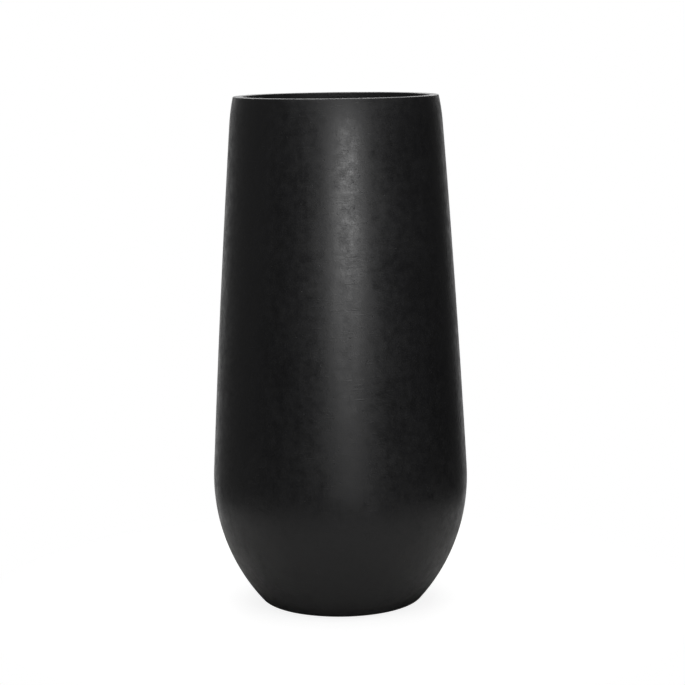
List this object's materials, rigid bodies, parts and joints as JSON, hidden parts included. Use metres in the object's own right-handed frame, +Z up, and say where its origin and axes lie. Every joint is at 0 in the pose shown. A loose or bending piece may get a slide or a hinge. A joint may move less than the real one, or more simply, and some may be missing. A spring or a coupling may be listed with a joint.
{
  "type": "floor planter",
  "caption": "Tall round floor planter with a thick lip, a bowl-shaped base, a lift-out planting liner with folding bails, a drain plug and floor pads.",
  "frame": {"origin": "on the floor, under the middle of the planter, at the underside of the floor pads", "axes": "+Z up along the planter's centre line; +X to the right as the picture sees it, and the picture looks along +Y"},
  "size_m": [0.5029, 0.5028, 1],
  "materials": {
    "fibre_stone": "satin",
    "pad_rubber": "matte",
    "liner_plastic": "matte",
    "bail_wire": "satin",
    "plug_rubber": "matte"
  },
  "bodies": {
    "shell": {"shell": "fibre_stone", "foot_pad_1": "pad_rubber", "foot_pad_2": "pad_rubber", "foot_pad_3": "pad_rubber", "foot_pad_4": "pad_rubber"},
    "liner": {"liner": "liner_plastic"},
    "bail_left": {"bail_left": "bail_wire"},
    "bail_right": {"bail_right": "bail_wire"},
    "drain_plug": {"drain_plug": "plug_rubber"}
  },
  "joints": [
    {"name": "liner_lift", "type": "slide", "parent": "shell", "child": "liner", "axis": [0, 0, 1], "range_m": [0, 0.4]},
    {"name": "bail_left_swing", "type": "hinge", "parent": "liner", "child": "bail_left", "pos_m": [-0.13317, 0, 0.9621], "axis": [0, 1, 0], "range_deg": [0, 180]},
    {"name": "bail_right_swing", "type": "hinge", "parent": "liner", "child": "bail_right", "pos_m": [0.13317, 0, 0.9621], "axis": [0, -1, 0], "range_deg": [0, 180]},
    {"name": "plug_pull", "type": "slide", "parent": "shell", "child": "drain_plug", "axis": [0, 0, 1], "range_m": [0, 0.05]}
  ]
}
